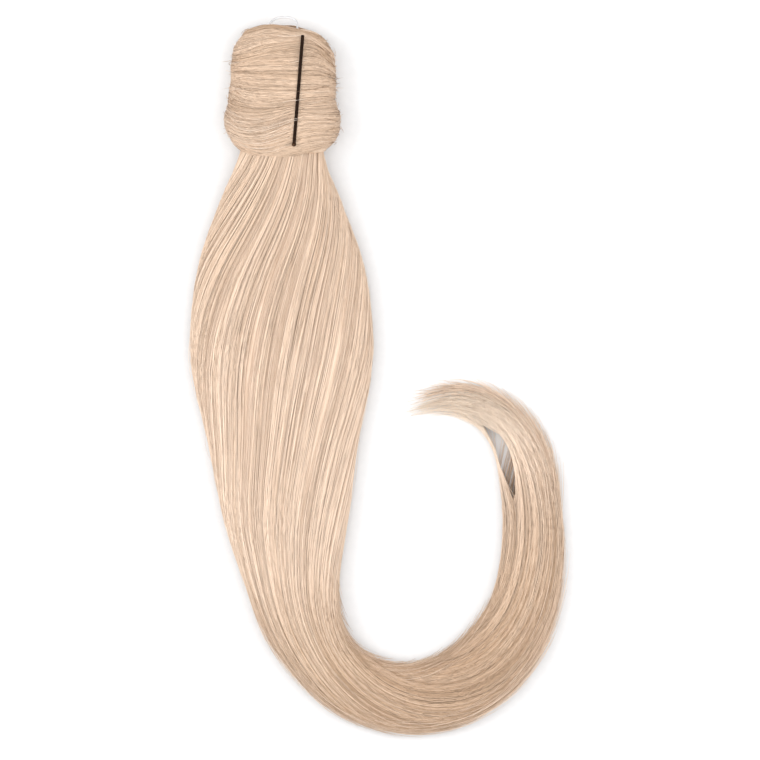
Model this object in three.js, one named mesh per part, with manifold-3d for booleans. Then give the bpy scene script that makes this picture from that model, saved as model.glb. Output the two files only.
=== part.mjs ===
// A ponytail hairpiece, laid flat on its back. Its long tail of hair swells, narrows and curls
// round to a wispy tip. The root of the tail is bound into a head by one strand of hair wound
// round it, whose end is held down by a bobby pin. A clear elastic loop shows above the head.
//
// Millimetres, +Z up. The origin is on the surface, under the middle of the head. The top of the
// head points along +Y, and the tail leaves along -Y and curls round to +X.
import * as THREE from "three";
import { mergeVertices } from "three/addons/utils/BufferGeometryUtils.js";
import Module from "manifold-3d";

const wasm = await Module();
wasm.setup();

// The tail, measured along its middle line from the place where the wrap grips it
const TAIL_LENGTH = 486;
const TAIL_WIDTH = 83; // at its widest
const TAIL_DEPTH = 19; // at its thickest
const TAIL_TWIST = 0.42; // how far in the middle locks start, as a share of half its width
const TWISTED_RUN = 0.35; // share of its length over which they drift back
const LOCK_WIDTH = 10; // of one lock of hair, where the tail is widest
const LOCK_RELIEF = 3; // how far a lock stands out, from its middle
const NECK_LIFT = 5; // height of the tail's underside where the wrap grips it
const PARTING_WIDTH = 5.6; // of the gap beside the loose lock inside the curl

// The wrap
const WRAP_WIDTH = 52;
const WRAP_DEPTH = 28;
const WRAP_LENGTH = 58.5; // along the tail
const STRAND_WIDTH = 10.8; // of the wound strand, along the tail
const STRAND_DEPTH = 10; // of the wound strand, before the root shapes its inside
const STRAND_END_RISE = 1.3; // how far the strand's crossing end stands on the turns
const FLATTENED = 1.1; // how much of the turns is pressed flat where they rest
const GRIP = 9; // how much of the tail's length the wrap holds

// The root of the tail, which fills the wrap
const ROOT_WALL = 8.5; // thickness of the wound hair beside it
const ROOT_WIDTH = WRAP_WIDTH - 2 * ROOT_WALL;
const ROOT_DEPTH = 17;
const ROOT_CROWN = 1.6; // how far the root shows above the wrap

// The bobby pin, a bent flat wire with a ball at each end
const PIN_LENGTH = 50;
const PIN_WIRE_WIDTH = 1.5;
const PIN_WIRE_DEPTH = 0.9;
const PIN_GAP = 2.4; // between the middles of its two legs
const PIN_WAVE = 0.5; // how far the hidden leg waves
const PIN_WAVES = 7;
const PIN_BALL = 2; // diameter of a ball
const PIN_ASIDE = 7.4; // from the middle of the head to the middle of the pin
const PIN_INSET = 4.3; // from the upper edge of the wrap to the pin's bend
const PIN_TILT = 4.6; // degrees
const PIN_SINK = 0.5; // how far the hair closes round it

// The elastic loop
const LOOP_WIDTH = 13.5;
const LOOP_RISE = 3.2; // above the root
const LOOP_CORD = 1;
const LOOP_HELD = 7; // how far its legs go into the root
const LOOP_ASIDE = 0.6; // its middle, from the middle of the head

const CLEARANCE = 0.3; // between two pieces that touch

// Cross-sections of the tail. run is the share of TAIL_LENGTH, heading the direction in degrees
// (0 is -Y, 90 is +X), half the share of half TAIL_WIDTH, depth the share of TAIL_DEPTH and lift
// the share of NECK_LIFT.
const TAIL_SECTIONS = [
  { run: 0.0, heading: 0, half: 0.42, depth: 0.86, lift: 1.0 },
  { run: 0.025, heading: -1.5, half: 0.49, depth: 0.96, lift: 0.7 },
  { run: 0.06, heading: -0.5, half: 0.665, depth: 1.0, lift: 0.2 },
  { run: 0.12, heading: 0.5, half: 0.905, depth: 1.0, lift: 0.0 },
  { run: 0.19, heading: 0.5, half: 1.0, depth: 0.96, lift: 0.0 },
  { run: 0.23, heading: 1, half: 0.955, depth: 0.94, lift: 0.0 },
  { run: 0.28, heading: 1.5, half: 0.825, depth: 0.93, lift: 0.0 },
  { run: 0.35, heading: 3.5, half: 0.69, depth: 0.93, lift: 0.0 },
  { run: 0.41, heading: 8.5, half: 0.52, depth: 0.95, lift: 0.0 },
  { run: 0.45, heading: 21, half: 0.43, depth: 0.96, lift: 0.0 },
  { run: 0.49, heading: 39, half: 0.36, depth: 0.93, lift: 0.0 },
  { run: 0.53, heading: 62, half: 0.355, depth: 0.9, lift: 0.0 },
  { run: 0.57, heading: 84, half: 0.37, depth: 0.86, lift: 0.0 },
  { run: 0.62, heading: 113.5, half: 0.395, depth: 0.8, lift: 0.0 },
  { run: 0.68, heading: 143, half: 0.39, depth: 0.74, lift: 0.0 },
  { run: 0.74, heading: 167, half: 0.355, depth: 0.67, lift: 0.0 },
  { run: 0.8, heading: 182, half: 0.33, depth: 0.6, lift: 0.0 },
  { run: 0.86, heading: 197, half: 0.285, depth: 0.5, lift: 0.0 },
  { run: 0.9, heading: 222, half: 0.22, depth: 0.42, lift: 0.0 },
  { run: 0.935, heading: 252, half: 0.18, depth: 0.33, lift: 0.0 },
  { run: 0.965, heading: 280, half: 0.12, depth: 0.25, lift: 0.0 },
  { run: 1.0, heading: 289, half: 0.03, depth: 0.1, lift: 0.0 },
];

// The locks. across is a lock's place from the outside (-1) to the inside (1) of the curl, once
// it has drifted, ends the run where its tip is, girth its share of LOCK_WIDTH.
const LOCKS = [
  { across: -0.92, ends: 0.88, girth: 0.95 },
  { across: -0.73, ends: 0.94, girth: 1.05 },
  { across: -0.52, ends: 0.985, girth: 1.1 },
  { across: -0.3, ends: 0.965, girth: 0.95 },
  { across: -0.09, ends: 1.0, girth: 1.1 },
  { across: 0.13, ends: 0.99, girth: 1.0 },
  { across: 0.34, ends: 0.975, girth: 1.1 },
  { across: 0.55, ends: 0.93, girth: 0.95 },
  { across: 0.75, ends: 0.955, girth: 1.05 },
  { across: 0.92, ends: 0.965, girth: 0.9 },
];

// The gap beside the loose lock. from and to are runs, across as for a lock.
const PARTING = { from: 0.82, to: 0.925, across: 0.58 };

// Cross-sections of the root. run is the share of its length from the grip to its crown, half
// the share of half ROOT_WIDTH, depth the share of ROOT_DEPTH.
const ROOT_SECTIONS = [
  { run: 0.0, half: 1.0, depth: 1.0 },
  { run: 0.3, half: 1.0, depth: 1.0 },
  { run: 0.75, half: 1.0, depth: 0.96 },
  { run: 0.92, half: 0.9, depth: 0.84 },
  { run: 1.0, half: 0.66, depth: 0.6 },
];

// The wrap's turns, from the crown to the neck. along is the share of WRAP_LENGTH, reach the share
// of half WRAP_WIDTH, aside the sideways shift as a share of it, swell the share of WRAP_DEPTH.
// lean turns the right-hand side towards the neck, and droop turns the front there, in degrees.
const TURNS = [
  { along: 0.09, reach: 0.74, aside: 0.03, swell: 0.78, lean: 7, droop: 2 },
  { along: 0.19, reach: 0.9, aside: 0.03, swell: 0.91, lean: 6, droop: 0 },
  { along: 0.29, reach: 0.94, aside: 0.02, swell: 0.97, lean: 4, droop: 0 },
  { along: 0.4, reach: 0.955, aside: 0.01, swell: 1.0, lean: 1, droop: 0 },
  { along: 0.51, reach: 0.955, aside: 0.0, swell: 0.985, lean: 1, droop: 0 },
  { along: 0.63, reach: 1.0, aside: 0.0, swell: 1.0, lean: -2, droop: 0 },
  { along: 0.75, reach: 1.0, aside: 0.03, swell: 1.0, lean: -3, droop: 3 },
  { along: 0.86, reach: 0.9, aside: 0.03, swell: 0.97, lean: -1, droop: 9 },
];

// The strand's crossing end, from the left-hand side up over the front to the pin. round is the
// angle round the head from its right-hand side, in degrees, along the share of WRAP_LENGTH, and
// girth the share of STRAND_WIDTH.
const STRAND_END = [
  { run: 0.0, round: 165, along: 0.8, girth: 0.5 },
  { run: 0.35, round: 130, along: 0.82, girth: 0.95 },
  { run: 0.7, round: 95, along: 0.74, girth: 0.85 },
  { run: 1.0, round: 68, along: 0.64, girth: 0.35 },
];

// The elastic loop's arc over the crown. across is the share of half its width from its middle,
// and up the share of its rise over the crown.
const LOOP_ARC = [
  { across: -1.0, up: -0.5 },
  { across: -0.86, up: 0.25 },
  { across: -0.55, up: 0.75 },
  { across: -0.15, up: 0.97 },
  { across: 0.25, up: 1.0 },
  { across: 0.62, up: 0.86 },
  { across: 0.9, up: 0.4 },
  { across: 1.0, up: -0.3 },
];

const SETTLE = 0.42; // share of a section's depth at which it is widest, above its underside
const UNDER_LOCKS = 0.7; // how deep the hair under the locks lies, as a share of LOCK_RELIEF
const DEEPEST_UNDER = 0.35; // and at most, as a share of a section's height over its widest place
const THICKEST_LOCK = 0.45; // the most that a lock stands out, as the same share
const SLIMMEST_LOCK = 0.7; // least half width of a lock, as a share of how far it stands out
const TIP_TAPER = 6; // a lock tapers over the last sixth of its length
const TIP_GIRTH = 0.03; // square of a lock's girth at its very tip, as a share of the full one
const END_GIRTH = 0.55; // depth of the wound strand where it is slimmest, as a share
const HAIRLINE = 0.05; // half width of the parting at its pointed ends

// How finely things are divided
const FAR_ROWS = 0.028; // run between two rows of the table that takes a section between them
const NEAR_ROWS = 0.012; // run before a lock's tip in which no other section is taken
const CENTRE_STEPS = 240;
const TAIL_SIDES = 16;
const LOCK_SIDES = 5;
const RIDGED = 0.25; // turns a five-sided lock so that one corner is outermost
const PARTING_STEPS = 10;
const TURN_STEPS = 22;
const TURN_SIDES = 8;
const END_STEPS = 12;
const WIRE_SIDES = 8;
const PIN_STEPS = 46;
const BALL_SIDES = 8;
const LOOP_STEPS = 18;
const FAR = 1000; // larger than the whole hairpiece

const hairMaterial = new THREE.MeshStandardMaterial({ color: "#e3c8b0", roughness: 0.5 });
const wrapMaterial = new THREE.MeshStandardMaterial({ color: "#dcc0a8", roughness: 0.5 });
const pinMaterial = new THREE.MeshStandardMaterial({ color: "#221d1b", roughness: 0.45 });
const loopMaterial = new THREE.MeshStandardMaterial({
  color: "#f2f2f2",
  roughness: 0.2,
  transparent: true,
  opacity: 0.5,
});

// A column of a table at any run: a cubic curve through its rows.
function read(table, column, at) {
  const last = table.length - 1;
  let i = 0;
  while (i < last - 1 && table[i + 1].run < at) i++;
  const slope = (k) => {
    const before = table[Math.max(k - 1, 0)];
    const after = table[Math.min(k + 1, last)];
    return (after[column] - before[column]) / (after.run - before.run);
  };
  const span = table[i + 1].run - table[i].run;
  const t = THREE.MathUtils.clamp((at - table[i].run) / span, 0, 1);
  const rest = 1 - t;
  return (
    table[i][column] * rest * rest * (1 + 2 * t) +
    table[i + 1][column] * t * t * (3 - 2 * t) +
    span * t * rest * (slope(i) * rest - slope(i + 1) * t)
  );
}

// A closed skin over rings of points with as many points each. It is capped at both ends, or, where
// it is a loop, joined end to end.
function skin(rings, isLoop = false) {
  const sides = rings[0].length;
  const positions = rings.flat().flatMap((p) => [p.x, p.y, p.z]);
  const index = [];
  const bands = isLoop ? rings.length : rings.length - 1;
  for (let r = 0; r < bands; r++) {
    const here = r * sides;
    const next = ((r + 1) % rings.length) * sides;
    for (let s = 0; s < sides; s++) {
      const t = (s + 1) % sides;
      index.push(here + s, here + t, next + t, here + s, next + t, next + s);
    }
  }
  if (!isLoop) {
    const end = (rings.length - 1) * sides;
    for (let s = 1; s < sides - 1; s++) {
      index.push(0, s + 1, s, end, end + s, end + s + 1);
    }
  }
  return new THREE.BufferGeometry()
    .setAttribute("position", new THREE.Float32BufferAttribute(positions, 3))
    .setIndex(index);
}

// A manifold solid from a closed geometry, facing out whichever way its rings ran.
function solid(geometry) {
  const bare = geometry.clone();
  bare.deleteAttribute("normal");
  bare.deleteAttribute("uv");
  const merged = mergeVertices(bare, 1e-4);
  const turned = new Uint32Array(merged.index.array);
  const build = () =>
    new wasm.Manifold(
      new wasm.Mesh({
        numProp: 3,
        vertProperties: merged.attributes.position.array,
        triVerts: turned,
      }),
    );
  let made = build();
  if (made.volume() < 0) {
    for (let i = 0; i < turned.length; i += 3) {
      [turned[i + 1], turned[i + 2]] = [turned[i + 2], turned[i + 1]];
    }
    made = build();
  }
  return made;
}

const join = (solids) => solids.reduce((all, one) => all.add(one));

// The geometry of a manifold solid.
function geometryOf(made) {
  const { vertProperties, triVerts } = made.getMesh();
  const geometry = new THREE.BufferGeometry()
    .setAttribute("position", new THREE.BufferAttribute(vertProperties, 3))
    .setIndex(new THREE.BufferAttribute(triVerts, 1));
  geometry.computeVertexNormals();
  return geometry;
}

// An oval ring of points about a centre, with its half sizes along two directions.
function ring(centre, across, up, halfAcross, halfUp, sides, turned = 0.5) {
  return Array.from({ length: sides }, (_, i) => {
    const angle = (2 * Math.PI * (i + turned)) / sides;
    return centre
      .clone()
      .addScaledVector(across, halfAcross * Math.cos(angle))
      .addScaledVector(up, halfUp * Math.sin(angle));
  });
}

const UP = new THREE.Vector3(0, 0, 1);
const gripY = -WRAP_LENGTH / 2 + GRIP;

// The tail's middle line, walked in short steps along its headings.
const centreLine = [new THREE.Vector3(0, gripY, 0)];
for (let i = 0; i < CENTRE_STEPS; i++) {
  const heading = THREE.MathUtils.degToRad(read(TAIL_SECTIONS, "heading", (i + 0.5) / CENTRE_STEPS));
  const step = TAIL_LENGTH / CENTRE_STEPS;
  const from = centreLine[i];
  centreLine.push(
    new THREE.Vector3(from.x + step * Math.sin(heading), from.y - step * Math.cos(heading), 0),
  );
}

// One cross-section of the tail: its middle, the way to the inside of the curl, and its half sizes.
function tailSection(run) {
  const at = THREE.MathUtils.clamp(run, 0, 1) * CENTRE_STEPS;
  const i = Math.min(Math.floor(at), CENTRE_STEPS - 1);
  const heading = THREE.MathUtils.degToRad(read(TAIL_SECTIONS, "heading", run));
  const depth = TAIL_DEPTH * read(TAIL_SECTIONS, "depth", run);
  const centre = centreLine[i].clone().lerp(centreLine[i + 1], at - i);
  centre.z = NECK_LIFT * read(TAIL_SECTIONS, "lift", run) + SETTLE * depth;
  return {
    centre,
    inward: new THREE.Vector3(Math.cos(heading), Math.sin(heading), 0),
    half: (TAIL_WIDTH / 2) * read(TAIL_SECTIONS, "half", run),
    top: (1 - SETTLE) * depth,
  };
}

// Where the cross-sections of something that ends at a run are taken: at each row of the table
// and halfway between rows that lie far apart.
function stations(end) {
  const runs = TAIL_SECTIONS.flatMap(({ run }, i) => {
    const before = TAIL_SECTIONS[Math.max(i - 1, 0)].run;
    return run - before > FAR_ROWS ? [(before + run) / 2, run] : [run];
  });
  return [...runs.filter((run) => run < end - NEAR_ROWS), end];
}

// The hair under the locks, over the whole tail.
function tailBody(grown) {
  const rings = stations(1).map((run) => {
    const { centre, inward, half, top } = tailSection(run);
    const under = Math.min(LOCK_RELIEF * UNDER_LOCKS, top * DEEPEST_UNDER);
    return ring(centre, inward, UP, half + grown, top - under + grown, TAIL_SIDES, 0);
  });
  return solid(skin(rings));
}

// A lock's place across the tail at a run: the middle locks start further in and drift back.
function drifted(across, run) {
  const still = THREE.MathUtils.smoothstep(run, 0, TWISTED_RUN);
  return across + TAIL_TWIST * (1 - across * across) * (1 - still);
}

// One lock, which lies on the hair under it and tapers to its own tip.
function lock({ across, ends, girth }, grown) {
  const rings = stations(ends).map((run) => {
    const angle = Math.acos(drifted(across, run));
    const { centre, inward, half, top } = tailSection(run);
    const rise = Math.min(LOCK_RELIEF, top * THICKEST_LOCK);
    const outward = new THREE.Vector3()
      .addScaledVector(inward, Math.cos(angle) * top)
      .addScaledVector(UP, Math.sin(angle) * half)
      .normalize();
    const sideways = new THREE.Vector3()
      .addScaledVector(inward, Math.sin(angle) * half)
      .addScaledVector(UP, -Math.cos(angle) * top)
      .normalize();
    centre
      .addScaledVector(inward, Math.cos(angle) * (half - rise))
      .addScaledVector(UP, Math.sin(angle) * (top - rise));
    const taper = Math.sqrt(THREE.MathUtils.clamp((1 - run / ends) * TIP_TAPER, TIP_GIRTH, 1));
    const breadth = Math.max((LOCK_WIDTH / TAIL_WIDTH) * girth * half, rise * SLIMMEST_LOCK);
    return ring(
      centre,
      sideways,
      outward,
      breadth * taper + grown,
      rise * taper + grown,
      LOCK_SIDES,
      RIDGED,
    );
  });
  return solid(skin(rings));
}

// The root that the wrap is wound on, from the grip up to its crown.
function root(grown) {
  const length = WRAP_LENGTH / 2 + ROOT_CROWN - gripY;
  const overlap = LOCK_RELIEF; // it reaches down into the tail
  const rings = ROOT_SECTIONS.map(({ run, half, depth }) => {
    const y = gripY - overlap + run * (length + overlap);
    return ring(
      new THREE.Vector3(0, y + grown * run, WRAP_DEPTH / 2),
      new THREE.Vector3(1, 0, 0),
      UP,
      (ROOT_WIDTH / 2) * half + grown,
      (ROOT_DEPTH / 2) * depth + grown,
      TAIL_SIDES,
    );
  });
  return solid(skin(rings));
}

const belowSurface = solid(new THREE.BoxGeometry(FAR, FAR, FAR).translate(0, 0, -FAR / 2));

// The slim gap, pointed at both ends, that parts the loose lock from the rest.
function parting() {
  const rings = [];
  for (let i = 0; i <= PARTING_STEPS; i++) {
    const share = i / PARTING_STEPS;
    const run = PARTING.from + share * (PARTING.to - PARTING.from);
    const { centre, inward, half } = tailSection(run);
    const gap = Math.max((PARTING_WIDTH / 2) * Math.sin(Math.PI * share), HAIRLINE);
    centre.addScaledVector(inward, half * PARTING.across);
    rings.push(
      [-1, 1, 1, -1].map((side, k) =>
        centre
          .clone()
          .addScaledVector(inward, side * gap)
          .setZ(k < 2 ? -TAIL_DEPTH : 2 * TAIL_DEPTH),
      ),
    );
  }
  return solid(skin(rings));
}

// The wire of the elastic loop: down one leg, over the crown and back down the other.
function loopPath() {
  const crown = WRAP_LENGTH / 2 + ROOT_CROWN;
  const half = (LOOP_WIDTH - LOOP_CORD) / 2;
  const rise = LOOP_RISE - LOOP_CORD / 2;
  return new THREE.CatmullRomCurve3([
    new THREE.Vector3(LOOP_ASIDE - half, crown - LOOP_HELD, WRAP_DEPTH / 2),
    ...LOOP_ARC.map(
      ({ across, up }) =>
        new THREE.Vector3(LOOP_ASIDE + half * across, crown + rise * up, WRAP_DEPTH / 2),
    ),
    new THREE.Vector3(LOOP_ASIDE + half, crown - LOOP_HELD, WRAP_DEPTH / 2),
  ]);
}

// An oval wire along a curve in the plane of X and Y or of Y and Z.
function wire(curve, width, depth, steps) {
  const section = new THREE.Shape().absellipse(0, 0, width / 2, depth / 2, 0, 2 * Math.PI);
  return solid(
    new THREE.ExtrudeGeometry(section, {
      steps,
      extrudePath: curve,
      curveSegments: WIRE_SIDES / 2,
      bevelEnabled: false,
    }),
  );
}

const elasticLoop = (grown) =>
  wire(loopPath(), LOOP_CORD + 2 * grown, LOOP_CORD + 2 * grown, LOOP_STEPS);

// The height of the wrap's front over the surface, at a distance from the middle of the head.
function wrapTop(x) {
  const half = WRAP_WIDTH / 2;
  return (WRAP_DEPTH / 2) * (1 + Math.sqrt(1 - (x / half) ** 2)) - FLATTENED;
}

// The pin's wire in its own frame: it lies along -Y from its bend at the origin, with the leg
// that shows on top.
function pinPath() {
  const bend = PIN_GAP / 2;
  const points = [
    new THREE.Vector3(0, -PIN_LENGTH + PIN_BALL / 2, 0),
    new THREE.Vector3(0, -PIN_LENGTH / 2, 0),
    new THREE.Vector3(0, -2 * bend, 0),
  ];
  for (const bent of [30, 60, 90, 120, 150]) {
    const angle = THREE.MathUtils.degToRad(bent);
    points.push(new THREE.Vector3(0, bend * (Math.sin(angle) - 1), bend * (Math.cos(angle) - 1)));
  }
  for (let i = 0; i <= PIN_WAVES; i++) {
    const y = -PIN_GAP * 2 - (i / PIN_WAVES) * (PIN_LENGTH - PIN_GAP * 2 - PIN_BALL * 2);
    const wave = i === 0 || i === PIN_WAVES ? 0 : i % 2 ? PIN_WAVE : -PIN_WAVE;
    points.push(new THREE.Vector3(0, y, wave - PIN_GAP));
  }
  return new THREE.CatmullRomCurve3(points);
}

function bobbyPin(grown) {
  const path = pinPath();
  const legs = wire(path, PIN_WIRE_WIDTH + 2 * grown, PIN_WIRE_DEPTH + 2 * grown, PIN_STEPS);
  const balls = [0, 1].map((end) => {
    const { x, y, z } = path.getPointAt(end);
    const ball = new THREE.SphereGeometry(PIN_BALL / 2 + grown, BALL_SIDES, BALL_SIDES);
    return solid(ball.translate(x, y, z));
  });
  return join([legs, ...balls]);
}

// Where the pin lies on the head.
const pinHeight = wrapTop(PIN_ASIDE) + PIN_WIRE_DEPTH / 2 - PIN_SINK;
const pinPlace = new THREE.Object3D();
pinPlace.rotation.z = -THREE.MathUtils.degToRad(PIN_TILT);
pinPlace.position.set(
  PIN_ASIDE - (PIN_LENGTH / 2) * Math.sin(pinPlace.rotation.z),
  WRAP_LENGTH / 2 - PIN_INSET,
  pinHeight,
);
pinPlace.updateMatrix();

// A place on the wound strand: on an oval round the head, at an angle from its right-hand side.
function onWrap(round, half, rise, y) {
  return new THREE.Vector3(half * Math.cos(round), y, WRAP_DEPTH / 2 + rise * Math.sin(round));
}

// One turn of the strand round the root.
function turn({ along, reach, aside, swell, lean, droop }) {
  const half = (WRAP_WIDTH / 2) * reach - STRAND_DEPTH / 2;
  const rise = (WRAP_DEPTH / 2) * swell - STRAND_DEPTH / 2;
  const y = WRAP_LENGTH * (0.5 - along);
  const rings = [];
  for (let i = 0; i < TURN_STEPS; i++) {
    const round = (2 * Math.PI * i) / TURN_STEPS;
    const centre = onWrap(round, half, rise, y);
    const outward = new THREE.Vector3(Math.cos(round) * rise, 0, Math.sin(round) * half).normalize();
    centre.y -= centre.x * Math.tan(THREE.MathUtils.degToRad(lean));
    centre.y -= (centre.z - WRAP_DEPTH / 2) * Math.tan(THREE.MathUtils.degToRad(droop));
    centre.x += aside * (WRAP_WIDTH / 2);
    rings.push(
      ring(centre, new THREE.Vector3(0, 1, 0), outward, STRAND_WIDTH / 2, STRAND_DEPTH / 2, TURN_SIDES),
    );
  }
  return solid(skin(rings, true));
}

// The strand's end, which crosses the last turns and goes under the pin.
function strandEnd() {
  const half = WRAP_WIDTH / 2 - STRAND_DEPTH / 2 + STRAND_END_RISE;
  const rise = WRAP_DEPTH / 2 - STRAND_DEPTH / 2 + STRAND_END_RISE;
  const rings = [];
  for (let i = 0; i <= END_STEPS; i++) {
    const run = i / END_STEPS;
    const round = THREE.MathUtils.degToRad(read(STRAND_END, "round", run));
    const y = WRAP_LENGTH * (0.5 - read(STRAND_END, "along", run));
    const girth = read(STRAND_END, "girth", run);
    const outward = new THREE.Vector3(Math.cos(round) * rise, 0, Math.sin(round) * half).normalize();
    rings.push(
      ring(
        onWrap(round, half, rise, y),
        new THREE.Vector3(0, 1, 0),
        outward,
        (STRAND_WIDTH / 2) * girth,
        (STRAND_DEPTH / 2) * (END_GIRTH + (1 - END_GIRTH) * girth),
        TURN_SIDES,
      ),
    );
  }
  return solid(skin(rings));
}

// The tail with its root, grown by a clearance where a neighbour is cut by it.
function hair(grown) {
  return join([tailBody(grown), root(grown), ...LOCKS.map((one) => lock(one, grown))]);
}

const group = new THREE.Group();

function addPiece(name, made, material) {
  const mesh = new THREE.Mesh(geometryOf(made), material);
  mesh.name = name;
  group.add(mesh);
  return mesh;
}

addPiece(
  "tail",
  hair(0).subtract(parting()).subtract(belowSurface).subtract(elasticLoop(CLEARANCE)),
  hairMaterial,
);

const pinBed = bobbyPin(CLEARANCE).transform(pinPlace.matrix.elements);
const wound = join([...TURNS.map(turn), strandEnd()]).translate([0, 0, -FLATTENED]);
addPiece(
  "wrap_strand",
  wound.subtract(hair(CLEARANCE)).subtract(pinBed).subtract(belowSurface),
  wrapMaterial,
);

const pin = addPiece("bobby_pin", bobbyPin(0), pinMaterial);
pin.position.copy(pinPlace.position);
pin.rotation.copy(pinPlace.rotation);

addPiece("elastic_loop", elasticLoop(0), loopMaterial);

export default group;
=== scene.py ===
"""A wound blonde ponytail hairpiece, lying flat: its strands, pin and clear loop.

Lengths in the tables and in the helpers are in millimetres; meshes are made in metres.
"""

import math

import bpy
import numpy as np
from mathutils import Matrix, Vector


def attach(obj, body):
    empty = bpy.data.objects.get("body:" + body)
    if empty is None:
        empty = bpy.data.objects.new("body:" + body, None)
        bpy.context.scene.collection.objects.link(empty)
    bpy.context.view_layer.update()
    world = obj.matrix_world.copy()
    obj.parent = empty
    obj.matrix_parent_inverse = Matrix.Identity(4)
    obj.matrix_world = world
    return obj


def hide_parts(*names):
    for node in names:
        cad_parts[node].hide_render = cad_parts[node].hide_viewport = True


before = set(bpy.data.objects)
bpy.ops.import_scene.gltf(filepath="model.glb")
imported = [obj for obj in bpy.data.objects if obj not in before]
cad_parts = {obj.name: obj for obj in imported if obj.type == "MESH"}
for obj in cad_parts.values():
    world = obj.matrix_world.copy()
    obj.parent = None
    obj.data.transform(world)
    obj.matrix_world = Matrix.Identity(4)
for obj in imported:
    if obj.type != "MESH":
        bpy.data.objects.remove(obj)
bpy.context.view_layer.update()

MM = 0.001
SEED = 20

# The photograph looks straight down. One of its pixels is this many millimetres, and the middle
# of the head is at this pixel.
PIXEL_MM = 0.45
PHOTO_SIZE = 760
HEAD_PIXEL = (282, 92)
CAMERA_LENS = 600
CAMERA_SENSOR = 36
CAMERA_FOCUS_HEIGHT = 12

# The tail, as in the model: run is the share of its length, heading is in degrees from straight
# down to the right, and half, depth and lift are shares of the sizes below.
TAIL_LENGTH = 486
TAIL_WIDTH = 83
TAIL_DEPTH = 19
NECK_LIFT = 5
SETTLE = 0.42
GRIP_Y = -20.25
TAIL_COLUMNS = ("run", "heading", "half", "depth", "lift")
TAIL_SECTIONS = np.array(
    [
        (0, 0, 0.42, 0.86, 1),
        (0.025, -1.5, 0.49, 0.96, 0.7),
        (0.06, -0.5, 0.665, 1, 0.2),
        (0.12, 0.5, 0.905, 1, 0),
        (0.19, 0.5, 1, 0.96, 0),
        (0.23, 1, 0.955, 0.94, 0),
        (0.28, 1.5, 0.825, 0.93, 0),
        (0.35, 3.5, 0.69, 0.93, 0),
        (0.41, 8.5, 0.52, 0.95, 0),
        (0.45, 21, 0.43, 0.96, 0),
        (0.49, 39, 0.36, 0.93, 0),
        (0.53, 62, 0.355, 0.9, 0),
        (0.57, 84, 0.37, 0.86, 0),
        (0.62, 113.5, 0.395, 0.8, 0),
        (0.68, 143, 0.39, 0.74, 0),
        (0.74, 167, 0.355, 0.67, 0),
        (0.8, 182, 0.33, 0.6, 0),
        (0.86, 197, 0.285, 0.5, 0),
        (0.9, 222, 0.22, 0.42, 0),
        (0.935, 252, 0.18, 0.33, 0),
        (0.965, 280, 0.12, 0.25, 0),
        (1, 289, 0.03, 0.1, 0),
    ]
)

# How far the hair turns round the tail's middle on its way along it, in degrees where it passes
# over the top. It comes up at the inner edge and goes down at the outer one.
TWIST_COLUMNS = ("run", "turned")
TWIST = np.array(
    [
        (0.0, 0.0),
        (0.04, 16.0),
        (0.08, 31.0),
        (0.12, 44.0),
        (0.16, 53.0),
        (0.2, 59.0),
        (0.28, 69.0),
        (0.36, 81.0),
        (0.44, 88.0),
        (0.48, 94.0),
        (0.52, 107.0),
        (0.56, 128.0),
        (0.6, 151.0),
        (0.64, 171.0),
        (0.68, 183.0),
        (0.76, 195.0),
        (0.82, 199.0),
        (0.88, 190.0),
        (1.0, 182.0),
    ]
)

# How much paler or darker the hair is painted on its way along the tail: painted shade through the
# bend and the bottom of the curl, where strands that lie across the light catch less of it, and
# painted light at the hook's end, against the shade between its loose strands.
TONE_COLUMNS = ("run", "tone")
TAIL_LIGHT_AND_SHADE = np.array(
    [
        (0.0, -0.2),
        (0.1, -0.16),
        (0.25, -0.08),
        (0.4, -0.08),
        (0.47, -0.26),
        (0.52, -0.4),
        (0.58, -0.5),
        (0.63, -0.54),
        (0.69, -0.48),
        (0.76, -0.36),
        (0.84, -0.12),
        (0.92, 0.42),
        (1.0, 0.5),
    ]
)

# The gap beside the loose lock inside the curl: the runs between which it lies, its place across
# and its width, how thin the lock gets, the shares of its length by which it is open and from
# which it closes, how far off it moves hair aside, and where a strand's side of it is settled.
PARTING_FROM = 0.812
PARTING_TO = 0.925
PARTING_ACROSS = 0.58
PARTING_WIDTH = 5.6
THINNEST_LOCK = 0.25
LOCK_PULLED = 1.25
PARTING_OPEN = 0.5
PARTING_CLOSES = 0.72
PARTING_REACH = 6
SIDED_SHARE = 0.25
# The least share of the section that a deep strand keeps, and the half width of the frayed tip.
LEAST_SHARE = 0.12
TIP_HALF = 3.4
TIP_FILLS = (0.8, 0.97)

# The outer shape of the wound head at heights up the photograph: its left and right edges and
# how far its front stands over its middle.
HEAD_MIDDLE_Z = 12.9
HEAD_COLUMNS = ("y", "left", "right", "rise")
HEAD_SECTIONS = np.array(
    [
        (-30.2, -13.0, 14.0, 8.0),
        (-28.8, -16.5, 17.5, 9.6),
        (-27.0, -18.6, 20.0, 11.2),
        (-25.0, -20.8, 21.8, 12.3),
        (-22.0, -23.2, 24.4, 13.4),
        (-18.5, -24.9, 26.2, 13.9),
        (-15.0, -26.0, 26.6, 14.0),
        (-10.0, -26.1, 26.7, 14.0),
        (-6.5, -25.3, 25.4, 13.9),
        (-2.0, -24.9, 24.7, 13.9),
        (5.0, -23.6, 24.8, 14.0),
        (12.0, -23.6, 24.5, 13.7),
        (17.1, -22.7, 23.8, 13.3),
        (20.7, -21.9, 22.2, 12.8),
        (24.3, -19.4, 19.6, 11.9),
        (27.4, -17.6, 15.6, 10.2),
        (29.0, -15.0, 11.0, 9.0),
        (30.4, -11.5, 8.0, 8.0),
    ]
)
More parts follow.
